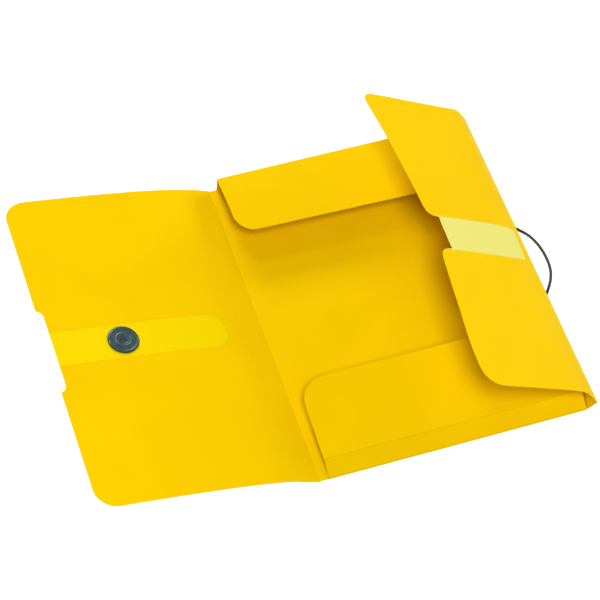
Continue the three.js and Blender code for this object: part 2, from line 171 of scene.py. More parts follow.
def sheet_panel(name, outline, a_lines, b_lines, place, square_edge, chamfer=0.11):
    """A panel of the sheet. outline is a closed loop of flat coordinates (a, b).
    place(a, b, h) gives the layout point at the height h over the mid surface.
    square_edge(a, b) is true on the edges that meet a crease strip, which stay square;
    the others get a small rounded edge."""
    bm = bmesh.new()
    ring = [bm.verts.new((float(a), float(b), 0.0)) for a, b in outline]
    bm.faces.new(ring)
    for axis, values in ((0, a_lines), (1, b_lines)):
        for v in values:
            co = [0.0, 0.0, 0.0]
            no = [0.0, 0.0, 0.0]
            co[axis], no[axis] = v, 1.0
            bmesh.ops.bisect_plane(
                bm,
                geom=bm.verts[:] + bm.edges[:] + bm.faces[:],
                dist=1e-4,
                plane_co=co,
                plane_no=no,
            )
    bmesh.ops.remove_doubles(bm, verts=bm.verts[:], dist=1e-4)
    big = [f for f in bm.faces if len(f.verts) > 4]
    if big:
        bmesh.ops.triangulate(bm, faces=big)
    bm.normal_update()
    bm.verts.ensure_lookup_table()
    bm.verts.index_update()
    flat = np.array([[v.co.x, v.co.y] for v in bm.verts])
    faces = []
    for f in bm.faces:
        idx = [v.index for v in f.verts]
        if f.normal.z < 0:
            idx.reverse()
        faces.append(idx)
    # the boundary loops, in order, counter-clockwise round the face
    nxt = {}
    directed = set()
    for f in faces:
        for i in range(len(f)):
            directed.add((f[i], f[(i + 1) % len(f)]))
    for a, b in directed:
        if (b, a) not in directed:
            nxt[a] = b
    bm.free()
    start = next(iter(nxt))
    loop = [start]
    while nxt[loop[-1]] != start:
        loop.append(nxt[loop[-1]])
    n = len(loop)
    inset = flat.copy()
    square = [bool(square_edge(*flat[v])) for v in loop]
    for i, v in enumerate(loop):
        p, q, r = flat[loop[i - 1]], flat[v], flat[loop[(i + 1) % n]]
        e1, e2 = q - p, r - q
        e1 = e1 / max(np.linalg.norm(e1), 1e-9)
        e2 = e2 / max(np.linalg.norm(e2), 1e-9)
        n1, n2 = np.array([-e1[1], e1[0]]), np.array([-e2[1], e2[0]])
        if square[i]:
            # slide along the crease edge where the neighbour's edge is rounded
            if not square[i - 1] and square[(i + 1) % n]:
                inset[v] = q + e2 * chamfer
            elif square[i - 1] and not square[(i + 1) % n]:
                inset[v] = q - e1 * chamfer
            continue
        b = n1 + n2
        b = b / max(np.linalg.norm(b), 1e-9)
        k = max(0.5, float(b @ n1))
        inset[v] = q + b * chamfer / k
    nv = len(flat)
    verts = [place(a, b, T / 2) for a, b in inset] + [place(a, b, -T / 2) for a, b in inset]
    edge = np.zeros(2 * nv + 3 * n)
    coords = list(inset) + list(inset)
    out_faces = [list(f) for f in faces] + [[v + nv for v in reversed(f)] for f in faces]
    base = 2 * nv
    for k, h in enumerate((T / 2 - chamfer, 0.0, -T / 2 + chamfer)):
        for i, v in enumerate(loop):
            verts.append(place(flat[v][0], flat[v][1], h))
            coords.append(flat[v])
            edge[base + k * n + i] = 1.0
    for i in range(n):
        j = (i + 1) % n
        rings = [
            (loop[i], loop[j]),
            (base + i, base + j),
            (base + n + i, base + n + j),
            (base + 2 * n + i, base + 2 * n + j),
            (loop[i] + nv, loop[j] + nv),
        ]
        for (a0, a1), (b0, b1) in zip(rings[:-1], rings[1:]):
            out_faces.append([a0, b0, b1, a1])
    obj = link(name, [row(v) for v in verts], out_faces)
    if len(obj.data.vertices) == len(edge):
        set_attribute(obj, "edge", edge)
        set_attribute(
            obj, "flat", np.c_[np.array(coords) / 1000.0, np.zeros(len(coords))], "FLOAT_VECTOR"
        )
    return obj


# ---- sections -----------------------------------------------------------------

COVER_SECTION = [
    (-24.1, 9.3), (-29.5, 11.9), (-34.8, 14.2), (-40, 16.1), (-45, 17.9),
    (-50, 19.6), (-60, 22.7), (-70, 25.7), (-80, 28.4), (-90, 30.8),
    (-100, 33.3), (-110, 35.7), (-120, 38.0), (-130, 40.3), (-140, 42.4),
    (-150, 44.5), (-160, 46.7), (-170, 48.7), (-180, 50.5), (-195.6, 53.7),
]
COVER_DEPTH = 177.8
COVER_CORNER = 19.0
COVER_NOTCH = [
    (198.9, 177.8), (197.4, 177.7), (196.6, 177.2), (195.5, 175.4),
    (194.2, 173.9), (192.4, 172.9), (189.6, 172.45), (186, 172.35),
    (170, 172.35), (154.8, 172.3), (138, 172.25), (122, 172.3),
    (118.6, 172.5), (117, 173), (115.6, 174.1), (114.5, 175.7),
    (113.7, 177.2), (112.4, 177.8),
]
SIDE_CREASE = (240.2, 18.0)
SIDE_FLARE = -5.2
SIDE_TOP = 312.4
FLAP_SLOPE = [
    (0, [(0, 50), (10, 48.5), (20, 44), (30, 38), (42, 34), (60, 32), (100, 30), (130, 28.5)]),
    (156, [(0, 51), (10, 49), (20, 43.5), (30, 36.5), (42, 33), (60, 32), (100, 30.5), (130, 29.5)]),
    (312, [(0, 60), (14, 58), (18, 48), (22, 37), (28, 32), (60, 32), (100, 31), (130, 30)]),
]
SIDE_FLAP = [
    (-5.2, 0), (-5, 2.6), (-3.4, 4.1), (-1.2, 6.4), (0.1, 9),
    (0.6, 12), (0.7, 16.5), (0.45, 20.5), (0, 26), (-0.4, 33),
    (-0.8, 40), (-1.2, 48), (-1.4, 56), (-1.6, 64), (-1.65, 75),
    (-1.7, 85), (-1.85, 95), (-2, 102), (-1.9, 108), (-1.6, 113),
    (-1.2, 117.4), (-0.5, 120), (0.5, 122.8), (2.1, 125.4), (4.1, 127.7),
    (6.4, 129.6), (8.9, 131.1), (11.7, 131.9), (15, 132.3), (20, 132.4),
    (27, 132.3), (34, 132.1), (41, 131.6), (50, 130.6), (60, 129.3),
    (75, 127.1), (90, 125.3), (105, 123.3), (117, 121.7), (123, 120.9),
    (129.3, 119.8), (134, 118.7), (137, 117.1), (138.7, 115.8), (139.9, 113.8),
    (140.9, 110.8), (142.2, 104.5), (146, 104.6), (155, 104.3), (165, 104.2),
    (171.2, 104), (176.3, 103.8), (176.9, 107.8), (177.5, 111), (179.2, 113.5),
    (181.5, 115.3), (184.4, 116.4), (188, 116.9), (194, 117.3), (208.7, 118.6),
    (226.4, 120.6), (244, 122.9), (259, 124.9), (273.9, 127.1), (285.5, 129.2),
    (294.6, 130.8), (300, 131.8), (304, 132.2), (307.6, 131.6), (310.2, 129.9),
    (312, 127), (312.8, 123.4), (312.9, 119), (312.9, 112), (312.9, 104),
    (312.7, 95), (312.5, 85), (312.5, 70), (312.5, 50), (312.7, 36),
    (313, 27), (313.2, 22), (313.4, 18), (313.2, 14), (313, 10),
    (313, 6), (312.9, 3), (312.4, 0),
]


def spline_points(points, per=20):
    """A uniform Catmull-Rom curve through the points, end points doubled."""
    p = np.array(points, float)
    n = len(p)
    out = []
    for i in range(n - 1):
        p0, p1, p2, p3 = p[max(i - 1, 0)], p[i], p[i + 1], p[min(i + 2, n - 1)]
        v0, v1 = (p2 - p0) / 2, (p3 - p1) / 2
        for k in range(per):
            t = k / per
            out.append(
                (2 * p1 - 2 * p2 + v0 + v1) * t**3
                + (-3 * p1 + 3 * p2 - 2 * v0 - v1) * t**2
                + v0 * t
                + p1
            )
    out.append(p[-1])
    return np.array(out)


class Walker:
    """Point and unit upper normal of an (x, z) polyline at the length s."""

    def __init__(self, points):
        self.p = np.array(points, float)
        d = np.diff(self.p, axis=0)
        self.s = np.r_[0, np.cumsum(np.hypot(d[:, 0], d[:, 1]))]
        t = np.gradient(self.p, self.s, axis=0)
        t /= np.linalg.norm(t, axis=1)[:, None]
        self.t = t

    def at(self, s):
        s = float(s)
        end = self.s[-1]
        x = np.interp(s, self.s, self.p[:, 0])
        z = np.interp(s, self.s, self.p[:, 1])
        tx = np.interp(s, self.s, self.t[:, 0])
        tz = np.interp(s, self.s, self.t[:, 1])
        if s > end:
            x += (s - end) * self.t[-1, 0]
            z += (s - end) * self.t[-1, 1]
        n = np.array([tz, -tx])
        n /= np.hypot(*n)
        return np.array([x, z]), n


cover_walk = Walker(spline_points(COVER_SECTION))


def slope_at(knots, s):
    return np.interp(s, [k[0] for k in knots], [k[1] for k in knots])


_flap_cache = {}


def flap_walk(y):
    key = round(y * 4)
    if key not in _flap_cache:
        y = key / 4
        low, mid, high = FLAP_SLOPE
        a, b = (low, mid) if y < mid[0] else (mid, high)
        k = min(1.0, max(0.0, (y - a[0]) / (b[0] - a[0])))
        k = k * k * (3 - 2 * k)
        t = np.arange(0, 140, 0.5) + 0.25
        ang = np.radians((1 - k) * slope_at(a[1], t) + k * slope_at(b[1], t))
        x = SIDE_CREASE[0] - np.r_[0, np.cumsum(0.5 * np.cos(ang))]
        z = SIDE_CREASE[1] + np.r_[0, np.cumsum(0.5 * np.sin(ang))]
        _flap_cache[key] = Walker(np.c_[x, z])
    return _flap_cache[key]


def place_cover(y, s, h):
    p, n = cover_walk.at(s)
    return np.array([p[0] + h * n[0], y, p[1] + h * n[1]])


def place_flap(y, s, h):
    y4 = y * 4
    k0 = math.floor(y4)
    w = y4 - k0
    out = np.zeros(3)
    for kk, ww in ((k0, 1 - w), (k0 + 1, w)):
        if ww > 0:
            p, n = flap_walk(kk / 4).at(s)
            out += ww * np.array([p[0] + h * n[0], y, p[1] + h * n[1]])
    out[1] = y
    return out


def planar(origin, u, v):
    origin, u, v = (np.asarray(q, float) for q in (origin, u, v))
    u = u / np.linalg.norm(u)
    v = v / np.linalg.norm(v)
    n = np.cross(u, v)
    return lambda a, b, h: origin + a * u + b * v + h * n


# ---- elastic ------------------------------------------------------------------

CORD_PATH = [
    (236.3, 198.5, 2.2), (238.8, 198.5, 2.17), (240.7, 198.27, 2.08),
    (242.5, 197.6, 1.92), (244.1, 196.55, 1.74), (245.45, 195.2, 1.56),
    (247.3, 192.95, 1.42), (251.5, 188.1, 1.4), (255, 183, 1.4),
    (257.8, 176.4, 1.4), (259.75, 168.7, 1.4), (260.8, 159.7, 1.4),
    (260.6, 150, 1.4), (258.8, 140.8, 1.4), (255.45, 133.2, 1.4),
    (251.35, 126.75, 1.4), (247.2, 121.3, 1.42), (245.28, 118.97, 1.56),
    (244, 117.6, 1.74), (242.43, 116.56, 1.92), (240.67, 115.91, 2.08),
    (238.8, 115.7, 2.17), (236.3, 115.7, 2.2),
]
CORD_R = 1.35


def tube(name, path, radius, sides=20, strands=0, pitch=3.4):
    """A round tube along a path, in millimetres, with the braid of a covered elastic:
    low ridges that cross each other. Attribute flat holds turn and length."""
    p = np.array(path)
    d = np.diff(p, axis=0)
    s = np.r_[0, np.cumsum(np.linalg.norm(d, axis=1))]
    t = np.gradient(p, s, axis=0)
    t /= np.linalg.norm(t, axis=1)[:, None]
    verts, coords = [], []
    side = np.cross(t[0], [0, 0, 1.0])
    side /= np.linalg.norm(side)
    for i in range(len(p)):
        side = side - (side @ t[i]) * t[i]
        side /= np.linalg.norm(side)
        up = np.cross(side, t[i])
        for k in range(sides):
            a = 2 * math.pi * k / sides
            r = radius
            if strands:
                q = s[i] / pitch
                w1 = math.cos(strands * a + 2 * math.pi * q)
                w2 = math.cos(strands * a - 2 * math.pi * q)
                r = radius - 0.05 + 0.05 * max(w1, w2)
            verts.append(p[i] + r * (math.cos(a) * side + math.sin(a) * up))
            coords.append((k / sides, s[i] / 1000.0, 0.0))
    faces = []
    for i in range(len(p) - 1):
        for k in range(sides):
            k2 = (k + 1) % sides
            faces.append(
                [i * sides + k, i * sides + k2, (i + 1) * sides + k2, (i + 1) * sides + k]
            )
    faces.append([k for k in range(sides)][::-1])
    last = (len(p) - 1) * sides
    faces.append([last + k for k in range(sides)])
    obj = link(name, [row(v) for v in verts], faces, 60)
    if len(obj.data.vertices) == len(coords):
        set_attribute(obj, "flat", coords, "FLOAT_VECTOR")
    return obj, s[-1]


def resample(points, step):
    p = np.array(points)
    s = np.r_[0, np.cumsum(np.linalg.norm(np.diff(p, axis=0), axis=1))]
    n = int(round(s[-1] / step))
    q = np.linspace(0, s[-1], n + 1)
    return np.c_[[np.interp(q, s, p[:, k]) for k in range(3)]].T


cord_line = resample(catmull(CORD_PATH, 14), 0.42)
elastic, cord_len = tube("elastic_cord", cord_line, CORD_R, 24, strands=8, pitch=6.5)
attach(elastic, "elastic")
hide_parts("elastic_loop")

# ---- materials ------------------------------------------------------------------


class Nodes:
    def __init__(self, name):
        self.mat = bpy.data.materials.new(name)
        self.mat.use_nodes = True
        self.t = self.mat.node_tree
        self.t.nodes.clear()
        self.out = self.t.nodes.new("ShaderNodeOutputMaterial")
        self.bsdf = self.t.nodes.new("ShaderNodeBsdfPrincipled")
        self.t.links.new(self.bsdf.outputs[0], self.out.inputs[0])

    def new(self, kind, **values):
        n = self.t.nodes.new(kind)
        for k, v in values.items():
            setattr(n, k, v)
        return n

    def link(self, a, b):
        self.t.links.new(a, b)

    def value(self, socket, v):
        """Link an output or set a number."""
        if isinstance(v, (int, float)):
            socket.default_value = v
        elif isinstance(v, tuple):
            socket.default_value = v
        else:
            self.link(v, socket)

    def math(self, op, a, b=None, c=None, clamp=False):
        n = self.new("ShaderNodeMath", operation=op, use_clamp=clamp)
        self.value(n.inputs[0], a)
        if b is not None:
            self.value(n.inputs[1], b)
        if c is not None:
            self.value(n.inputs[2], c)
        return n.outputs[0]

    def smooth(self, x, lo, hi, a=0.0, b=1.0):
        n = self.new("ShaderNodeMapRange", interpolation_type="SMOOTHSTEP")
        self.value(n.inputs[0], x)
        for i, v in enumerate((lo, hi, a, b)):
            n.inputs[i + 1].default_value = v
        return n.outputs[0]

    def mix(self, fac, a, b, mode="MIX"):
        n = self.new("ShaderNodeMix", data_type="RGBA", blend_type=mode)
        self.value(n.inputs[0], fac)
        self.value(n.inputs[6], a)
        self.value(n.inputs[7], b)
        return n.outputs[2]

    def noise(self, vector, scale, detail=3.0, rough=0.5):
        n = self.new("ShaderNodeTexNoise")
        self.link(vector, n.inputs["Vector"])
        n.inputs["Scale"].default_value = scale
        n.inputs["Detail"].default_value = detail
        n.inputs["Roughness"].default_value = rough
        return n.outputs[0]

    def bump(self, height, strength, distance, normal=None):
        n = self.new("ShaderNodeBump")
        n.inputs["Strength"].default_value = strength
        n.inputs["Distance"].default_value = distance
        self.link(height, n.inputs["Height"])
        if normal is not None:
            self.link(normal, n.inputs["Normal"])
        return n.outputs[0]

    def coords(self):
        n = self.new("ShaderNodeTexCoord")
        return n.outputs["Object"]

    def attribute(self, name):
        n = self.new("ShaderNodeAttribute", attribute_type="GEOMETRY", attribute_name=name)
        return n

    def split(self, vector):
        n = self.new("ShaderNodeSeparateXYZ")
        self.link(vector, n.inputs[0])
        return n.outputs

    def rounded(self, x, y, cx, cy, hx, hy, r):
        """Signed distance in the plane (x, y) to a rounded rectangle."""
        dx = self.math("SUBTRACT", self.math("ABSOLUTE", self.math("SUBTRACT", x, cx)), hx - r)
        dy = self.math("SUBTRACT", self.math("ABSOLUTE", self.math("SUBTRACT", y, cy)), hy - r)
        ox, oy = self.math("MAXIMUM", dx, 0.0), self.math("MAXIMUM", dy, 0.0)
        outer = self.math("SQRT", self.math("ADD", self.math("MULTIPLY", ox, ox), self.math("MULTIPLY", oy, oy)))
        inner = self.math("MINIMUM", self.math("MAXIMUM", dx, dy), 0.0)
        return self.math("SUBTRACT", self.math("ADD", outer, inner), r)


def srgb(r, g, b):
    def lin(c):
        c /= 255.0
        return c / 12.92 if c <= 0.04045 else ((c + 0.055) / 1.055) ** 2.4

    return (lin(r), lin(g), lin(b), 1.0)


YELLOW = (0.83, 0.53, 0.0006, 1.0)
YELLOW_DEEP = (0.812, 0.512, 0.0005, 1.0)


def sheet_material(name, band=None, crease=False):
    """Satin polypropylene sheet: a fine cast grain, a slow mottling of colour and gloss,
    faint handling scratches and a brighter cut edge. band adds the pale frosted strip."""
    k = Nodes(name)
    pos = k.coords()
    cloud = k.noise(pos, 14.0, 2.0)
    fine = k.noise(pos, 900.0, 2.0, 0.6)
    col = k.mix(k.smooth(cloud, 0.35, 0.65), YELLOW_DEEP, YELLOW)
    rough = k.smooth(k.noise(pos, 60.0, 3.0), 0.3, 0.7, 0.5, 0.58)
    # light handling scratches, long and thin
    stretch = k.new("ShaderNodeMapping")
    k.link(pos, stretch.inputs[0])
    stretch.inputs["Scale"].default_value = (18.0, 420.0, 60.0)
    stretch.inputs["Rotation"].default_value = (0.0, 0.0, 0.5)
    scratch = k.noise(stretch.outputs[0], 1.0, 2.0, 0.4)
    mark = k.smooth(scratch, 0.70, 0.78)
    rough = k.math("ADD", rough, k.math("MULTIPLY", mark, 0.05))
    height = k.math("ADD", k.math("MULTIPLY", fine, 1.0), k.math("MULTIPLY", mark, -0.25))
    if crease:
        # painted shade: the crease strips are a shade darker than the panels, for the shade along the fold lines
        col = k.mix(k.smooth(cloud, 0.35, 0.65), (0.757, 0.477, 0.0005, 1.0), (0.774, 0.493, 0.0006, 1.0))
    else:
        edge = k.attribute("edge").outputs["Fac"]
        col = k.mix(k.math("MULTIPLY", edge, 0.5), col, (0.88, 0.62, 0.004, 1.0))
    if band:
        f = k.split(k.attribute("flat").outputs["Vector"])
        mask, line, pale = band(k, f)
        col = k.mix(k.math("MULTIPLY", line, 1.0), col, (0.77, 0.47, 0.002, 1.0))
        col = k.mix(mask, col, pale)
        rough = k.math("ADD", rough, k.math("MULTIPLY", mask, 0.08))
    k.link(col, k.bsdf.inputs["Base Color"])
    k.link(rough, k.bsdf.inputs["Roughness"])
    k.bsdf.inputs["Specular IOR Level"].default_value = 0.012
    k.bsdf.inputs["Specular Tint"].default_value = (1.0, 0.78, 0.02, 1.0)
    k.link(k.bump(height, 0.18, 0.00006), k.bsdf.inputs["Normal"])
    return k.mat


def cover_band(k, f):
    """Paler strip on the cover from the fore edge to near the spine, rounded at its end."""
    y, s = f[0], f[1]
    d = k.rounded(y, s, 0.1559, 0.1164, 0.0171, 0.100, 0.0168)
    d = k.math("ADD", d, k.math("MULTIPLY", k.math("SUBTRACT", k.noise(k.coords(), 90.0, 2.0), 0.5), 0.0006))
    mask = k.smooth(d, -0.0012, 0.0006, 1.0, 0.0)
    line = k.math("MULTIPLY", k.smooth(d, -0.001, 0.0008), k.smooth(d, 0.0008, 0.0032, 0.35, 0.0))
    return mask, line, (0.814, 0.600, 0.0009, 1.0)


def flap_band(k, f):
    """Frosted strip on the side flap from near its crease to the notch.
    Its lower edge turns a little where the sheet bends, as the photo shows."""
    y, s = f[0], f[1]
    lift = k.math("MULTIPLY", k.smooth(s, 0.006, 0.036, 0.0031, 0.0), k.smooth(y, 0.1405, 0.1770, 1.0, 0.0))
    across = k.math("SUBTRACT", y, lift)
    along = k.math("SUBTRACT", s, k.math("MULTIPLY", k.math("SUBTRACT", 0.1802, y), 0.107))
    d = k.rounded(across, along, 0.15875, 0.0594, 0.01825, 0.0500, 0.0006)
    mask = k.smooth(d, -0.0002, 0.0002, 1.0, 0.0)
    return mask, k.math("MULTIPLY", mask, 0.0), (0.73, 0.677, 0.165, 1.0)


mat_sheet = sheet_material("polypropylene_sheet")
mat_cover = sheet_material("polypropylene_cover", cover_band)
mat_flap = sheet_material("polypropylene_side_flap", flap_band)
# the crease strips' material carries a painted shade along the fold lines
mat_crease_shade = sheet_material("polypropylene_crease_painted_shade", crease=True)


def button_material():
    k = Nodes("moulded_slate_plastic")
    pos = k.coords()
    col = k.mix(k.smooth(k.noise(pos, 220.0, 3.0), 0.3, 0.7), srgb(50, 68, 71), srgb(62, 82, 83))
    # painted shade darkens the rim edge and the central dimple, and a painted highlight lightens the ridge ring
    r = k.attribute("rad").outputs["Fac"]
    # painted shade: a near-black ring at the rim edge for its contact shadow
    col = k.mix(k.smooth(r, 0.0130, 0.0134, 0.0, 0.9), col, srgb(12, 14, 11))
    ridge_highlight = k.math("MULTIPLY", k.smooth(r, 0.0056, 0.0062), k.smooth(r, 0.0066, 0.0072, 0.16, 0.0))
    # painted highlight on the ridge ring
    col = k.mix(ridge_highlight, col, srgb(118, 134, 132))
    # painted shade in the central dimple
    col = k.mix(k.smooth(r, 0.0034, 0.0044, 0.22, 0.0), col, srgb(22, 32, 36))
    k.link(col, k.bsdf.inputs["Base Color"])
    rough = k.smooth(k.noise(pos, 500.0, 2.0), 0.3, 0.7, 0.2, 0.28)
    rough = k.math("ADD", rough, k.smooth(r, 0.0131, 0.0134, 0.0, 0.4))
    k.link(rough, k.bsdf.inputs["Roughness"])
    k.bsdf.inputs["Specular IOR Level"].default_value = 0.4
    k.link(k.bump(k.noise(pos, 1500.0, 2.0), 0.08, 0.00005), k.bsdf.inputs["Normal"])
    return k.mat


def elastic_material():
    """Braided cover: two sets of strands that cross, each strand lit along its middle."""
    k = Nodes("braided_elastic")
    f = k.split(k.attribute("flat").outputs["Vector"])
    turn = k.math("MULTIPLY", f[0], 2 * math.pi * 8)
    run = k.math("MULTIPLY", f[1], 2 * math.pi / 0.0065)
    w1 = k.math("COSINE", k.math("ADD", turn, run))
    w2 = k.math("COSINE", k.math("SUBTRACT", turn, run))
    w = k.math("MAXIMUM", w1, w2)
    fray = k.noise(k.coords(), 2600.0, 2.0)
    col = k.mix(k.smooth(w, 0.1, 0.95), srgb(36, 38, 38), srgb(82, 86, 85))
    col = k.mix(k.smooth(fray, 0.55, 0.8, 0.0, 0.35), col, srgb(104, 108, 106))
    # painted shade: the cord is darker towards both slots, where the side flap shades it
    ends = k.math("MULTIPLY", k.smooth(f[1], 0.0150, 0.0260), k.smooth(f[1], 0.0820, 0.0910, 1.0, 0.0))
    col = k.mix(ends, srgb(28, 30, 30), col)
    k.link(col, k.bsdf.inputs["Base Color"])
    k.bsdf.inputs["Roughness"].default_value = 0.72
    k.bsdf.inputs["Specular IOR Level"].default_value = 0.12
    k.link(k.bump(k.math("ADD", w, fray), 0.5, 0.00012), k.bsdf.inputs["Normal"])
    return k.mat


def steel_material():
    k = Nodes("plated_steel")
    pos = k.coords()
    k.link(
        k.mix(k.smooth(k.noise(pos, 300.0, 3.0), 0.35, 0.7), (0.62, 0.63, 0.65, 1), (0.74, 0.75, 0.76, 1)),
        k.bsdf.inputs["Base Color"],
    )
    k.bsdf.inputs["Metallic"].default_value = 1.0
    k.link(k.smooth(k.noise(pos, 900.0, 2.0), 0.3, 0.7, 0.22, 0.38), k.bsdf.inputs["Roughness"])
    k.link(k.bump(k.noise(pos, 1800.0, 2.0), 0.1, 0.00004), k.bsdf.inputs["Normal"])
    return k.mat


mat_button = button_material()
mat_elastic = elastic_material()
mat_steel = steel_material()
elastic.data.materials.append(mat_elastic)


def dress(obj, mat, body=None, node=None):
    obj.data.materials.append(mat)
    if body:
        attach(obj, body)
    if node:
        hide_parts(node)
    return obj


# ---- panels -----------------------------------------------------------------------

BOTTOM_FOOT = 1.3
TOP_CREASE = (311.3, 17.8)
BOTTOM_CREASE = (14.3, 9.9)
TOP_RISE, BOTTOM_RISE = math.radians(9.25), math.radians(10.25)
TOP_X, BOTTOM_X, WALL_END = (0.5, 235.3), (1.3, 235.3), 235.2
EPS = 0.02

# back panel
back = sheet_panel(
    "back_sheet",
    [
        (X_SPINE + GAP, 0), (BOTTOM_X[0] - 0.3, 0), (BOTTOM_X[0] - 0.3, BOTTOM_FOOT),
        (X_SIDE - GAP, BOTTOM_FOOT), (X_SIDE - GAP, HEIGHT - GAP),
        (TOP_X[0] - 0.3, HEIGHT - GAP), (TOP_X[0] - 0.3, HEIGHT), (X_SPINE + GAP, HEIGHT),
    ],
    lines(X_SPINE, X_SIDE, 12),
    lines(0, HEIGHT, 12),
    planar((0, 0, MID), (1, 0, 0), (0, 1, 0)),
    lambda a, b: a < X_SPINE + GAP + EPS
    or a > X_SIDE - GAP - EPS
    or (abs(b - BOTTOM_FOOT) < EPS or abs(b - (HEIGHT - GAP)) < EPS),
)
dress(back, mat_sheet, "back", "back_panel")

# spine
SPINE_W = 19.75
SPINE_LO, SPINE_HI = -0.5, 312.8
tilt = math.radians(26.95)
spine_dir = (-math.cos(tilt), 0, math.sin(tilt))
spine_place = planar((X_SPINE, 0, MID), (0, 1, 0), spine_dir)
spine = sheet_panel(
    "spine_sheet",
    [(SPINE_LO, GAP), (SPINE_HI, GAP), (SPINE_HI, SPINE_W - GAP), (SPINE_LO, SPINE_W - GAP)],
    lines(0, HEIGHT, 12),
    lines(GAP, SPINE_W - GAP, 3),
    spine_place,
    lambda a, b: b < GAP + EPS or b > SPINE_W - GAP - EPS,
)
dress(spine, mat_sheet, "spine", "spine_panel")

# front cover
cover_outline = (
    [(0, GAP), (HEIGHT, GAP)]
    + [(HEIGHT, s) for s in (60.0, 110.0)]
    + arc(HEIGHT - COVER_CORNER, COVER_DEPTH - COVER_CORNER, COVER_CORNER, 0, 90, 26)
    + [tuple(q) for q in spaced(catmull(COVER_NOTCH, 6), 0.8)]
    + arc(COVER_CORNER, COVER_DEPTH - COVER_CORNER, COVER_CORNER, 90, 180, 26)
)
cover = sheet_panel(
    "cover_sheet",
    cover_outline,
    lines(0, HEIGHT, 9),
    [2, 4, 6, 8.5, 11, 14, 17, 20, 23.5, 27] + lines(30, COVER_DEPTH, 4),
    place_cover,
    lambda a, b: b < GAP + EPS,
)
dress(cover, mat_cover, "cover", "front_cover")

# top gusset and flap
top_dir = np.array([0, TOP_CREASE[0] - HEIGHT, TOP_CREASE[1] - MID])
top_h = float(np.linalg.norm(top_dir))
top_place = planar((0, HEIGHT, MID), (1, 0, 0), top_dir)
top_wall = sheet_panel(
    "top_gusset_sheet",
    [(TOP_X[0], GAP), (TOP_X[1], GAP), (WALL_END, top_h - GAP), (TOP_X[0], top_h - GAP)],
    lines(TOP_X[0], TOP_X[1], 12),
    lines(GAP, top_h - GAP, 3),
    top_place,
    lambda a, b: b < GAP + EPS or b > top_h - GAP - EPS,
)
dress(top_wall, mat_sheet, "top_wall", "top_gusset")

TOP_FLAP = [
    (0.2, 39), (-0.1, 46), (-0.2, 51), (0.9, 57), (3.0, 62),
    (5.9, 66), (8.7, 68.6), (12.1, 70.4), (17, 71.2),
]
TOP_FLAP_END = [(160, 74.4), (170, 74.9), (174, 74.9), (176.6, 74.2), (178.2, 72.9), (179.6, 70.8)]
BOTTOM_FLAP = [
    (0.8, 47), (1.2, 53), (2.6, 58.4), (5.6, 63.2), (9.9, 67.2),
    (14.9, 70.2), (20.6, 71.6), (27, 72),
]
BOTTOM_FLAP_END = [(168, 72), (173, 72), (176, 71.2), (177.8, 69.9), (179.4, 67.8)]


def tuck_outline(x0, first, last):
    return (
        [tuple(q) for q in spaced(catmull(first, 6), 0.7)]
        + [tuple(q) for q in spaced(catmull(last, 6), 0.7)]
        + [(WALL_END, GAP), (x0, GAP)]
    )


top_v = (0, -math.cos(TOP_RISE), math.sin(TOP_RISE))
# a runs along X here and b from the crease, so the upper side is on -n
top_flap_place = planar((0, TOP_CREASE[0], TOP_CREASE[1]), (1, 0, 0), top_v)
top_flap = sheet_panel(
    "top_flap_sheet",
    tuck_outline(0.0, TOP_FLAP, TOP_FLAP_END)[::-1],
    lines(0, 232, 12),
    lines(GAP, 75, 8),
    top_flap_place,
    lambda a, b: b < GAP + EPS,
)
dress(top_flap, mat_sheet, "top_tuck", "top_flap")

# bottom gusset and flap
bottom_dir = np.array([0, BOTTOM_CREASE[0], BOTTOM_CREASE[1] - MID])
bottom_h = float(np.linalg.norm(bottom_dir))
bottom_place = planar((0, 0, MID), (1, 0, 0), bottom_dir)
bottom_wall = sheet_panel(
    "bottom_gusset_sheet",
    [
        (BOTTOM_X[0], BOTTOM_FOOT), (BOTTOM_X[1], BOTTOM_FOOT),
        (WALL_END, bottom_h - GAP), (BOTTOM_X[0], bottom_h - GAP),
    ],
    lines(BOTTOM_X[0], BOTTOM_X[1], 12),
    lines(BOTTOM_FOOT, bottom_h - GAP, 3),
    bottom_place,
    lambda a, b: b < BOTTOM_FOOT + EPS or b > bottom_h - GAP - EPS,
)
dress(bottom_wall, mat_sheet, "bottom_wall", "bottom_gusset")
bottom_v = (0, math.cos(BOTTOM_RISE), math.sin(BOTTOM_RISE))
bottom_flap_place = planar((0, BOTTOM_CREASE[0], BOTTOM_CREASE[1]), (1, 0, 0), bottom_v)
bottom_flap = sheet_panel(
    "bottom_flap_sheet",
    tuck_outline(1.0, BOTTOM_FLAP, BOTTOM_FLAP_END)[::-1],
    lines(0, 232, 12),
    lines(GAP, 72, 8),
    bottom_flap_place,
    lambda a, b: b < GAP + EPS,
)
dress(bottom_flap, mat_sheet, "bottom_tuck", "bottom_flap")

# side gusset, with the two slots that the elastic passes through
side_dir = np.array([SIDE_CREASE[0] - X_SIDE, 0, SIDE_CREASE[1] - MID])
side_h = float(np.linalg.norm(side_dir))
side_place = planar((X_SIDE, 0, MID), (0, 1, 0), side_dir)
SLOT_W, SLOT_H = 5.6, 8.2


def slot_outline(y):
    r = SLOT_W / 2
    return (
        [(y - r, GAP)]
        + [(y - q, SLOT_H - r + z) for q, z in [(r * math.cos(a), r * math.sin(a)) for a in np.linspace(0, math.pi, 17)]]
        + [(y + r, GAP)]
    )


side_wall = sheet_panel(
    "side_gusset_sheet",
    [(0, GAP)]
    + slot_outline(CORD_PATH[-1][1])
    + slot_outline(CORD_PATH[0][1])
    + [(HEIGHT, GAP), (SIDE_TOP, side_h - GAP), (SIDE_FLARE, side_h - GAP)],
    lines(0, HEIGHT, 12),
    lines(GAP, side_h - GAP, 3),
    side_place,
    lambda a, b: b < GAP + EPS or b > side_h - GAP - EPS,
)
dress(side_wall, mat_sheet, "side_wall", "side_gusset")

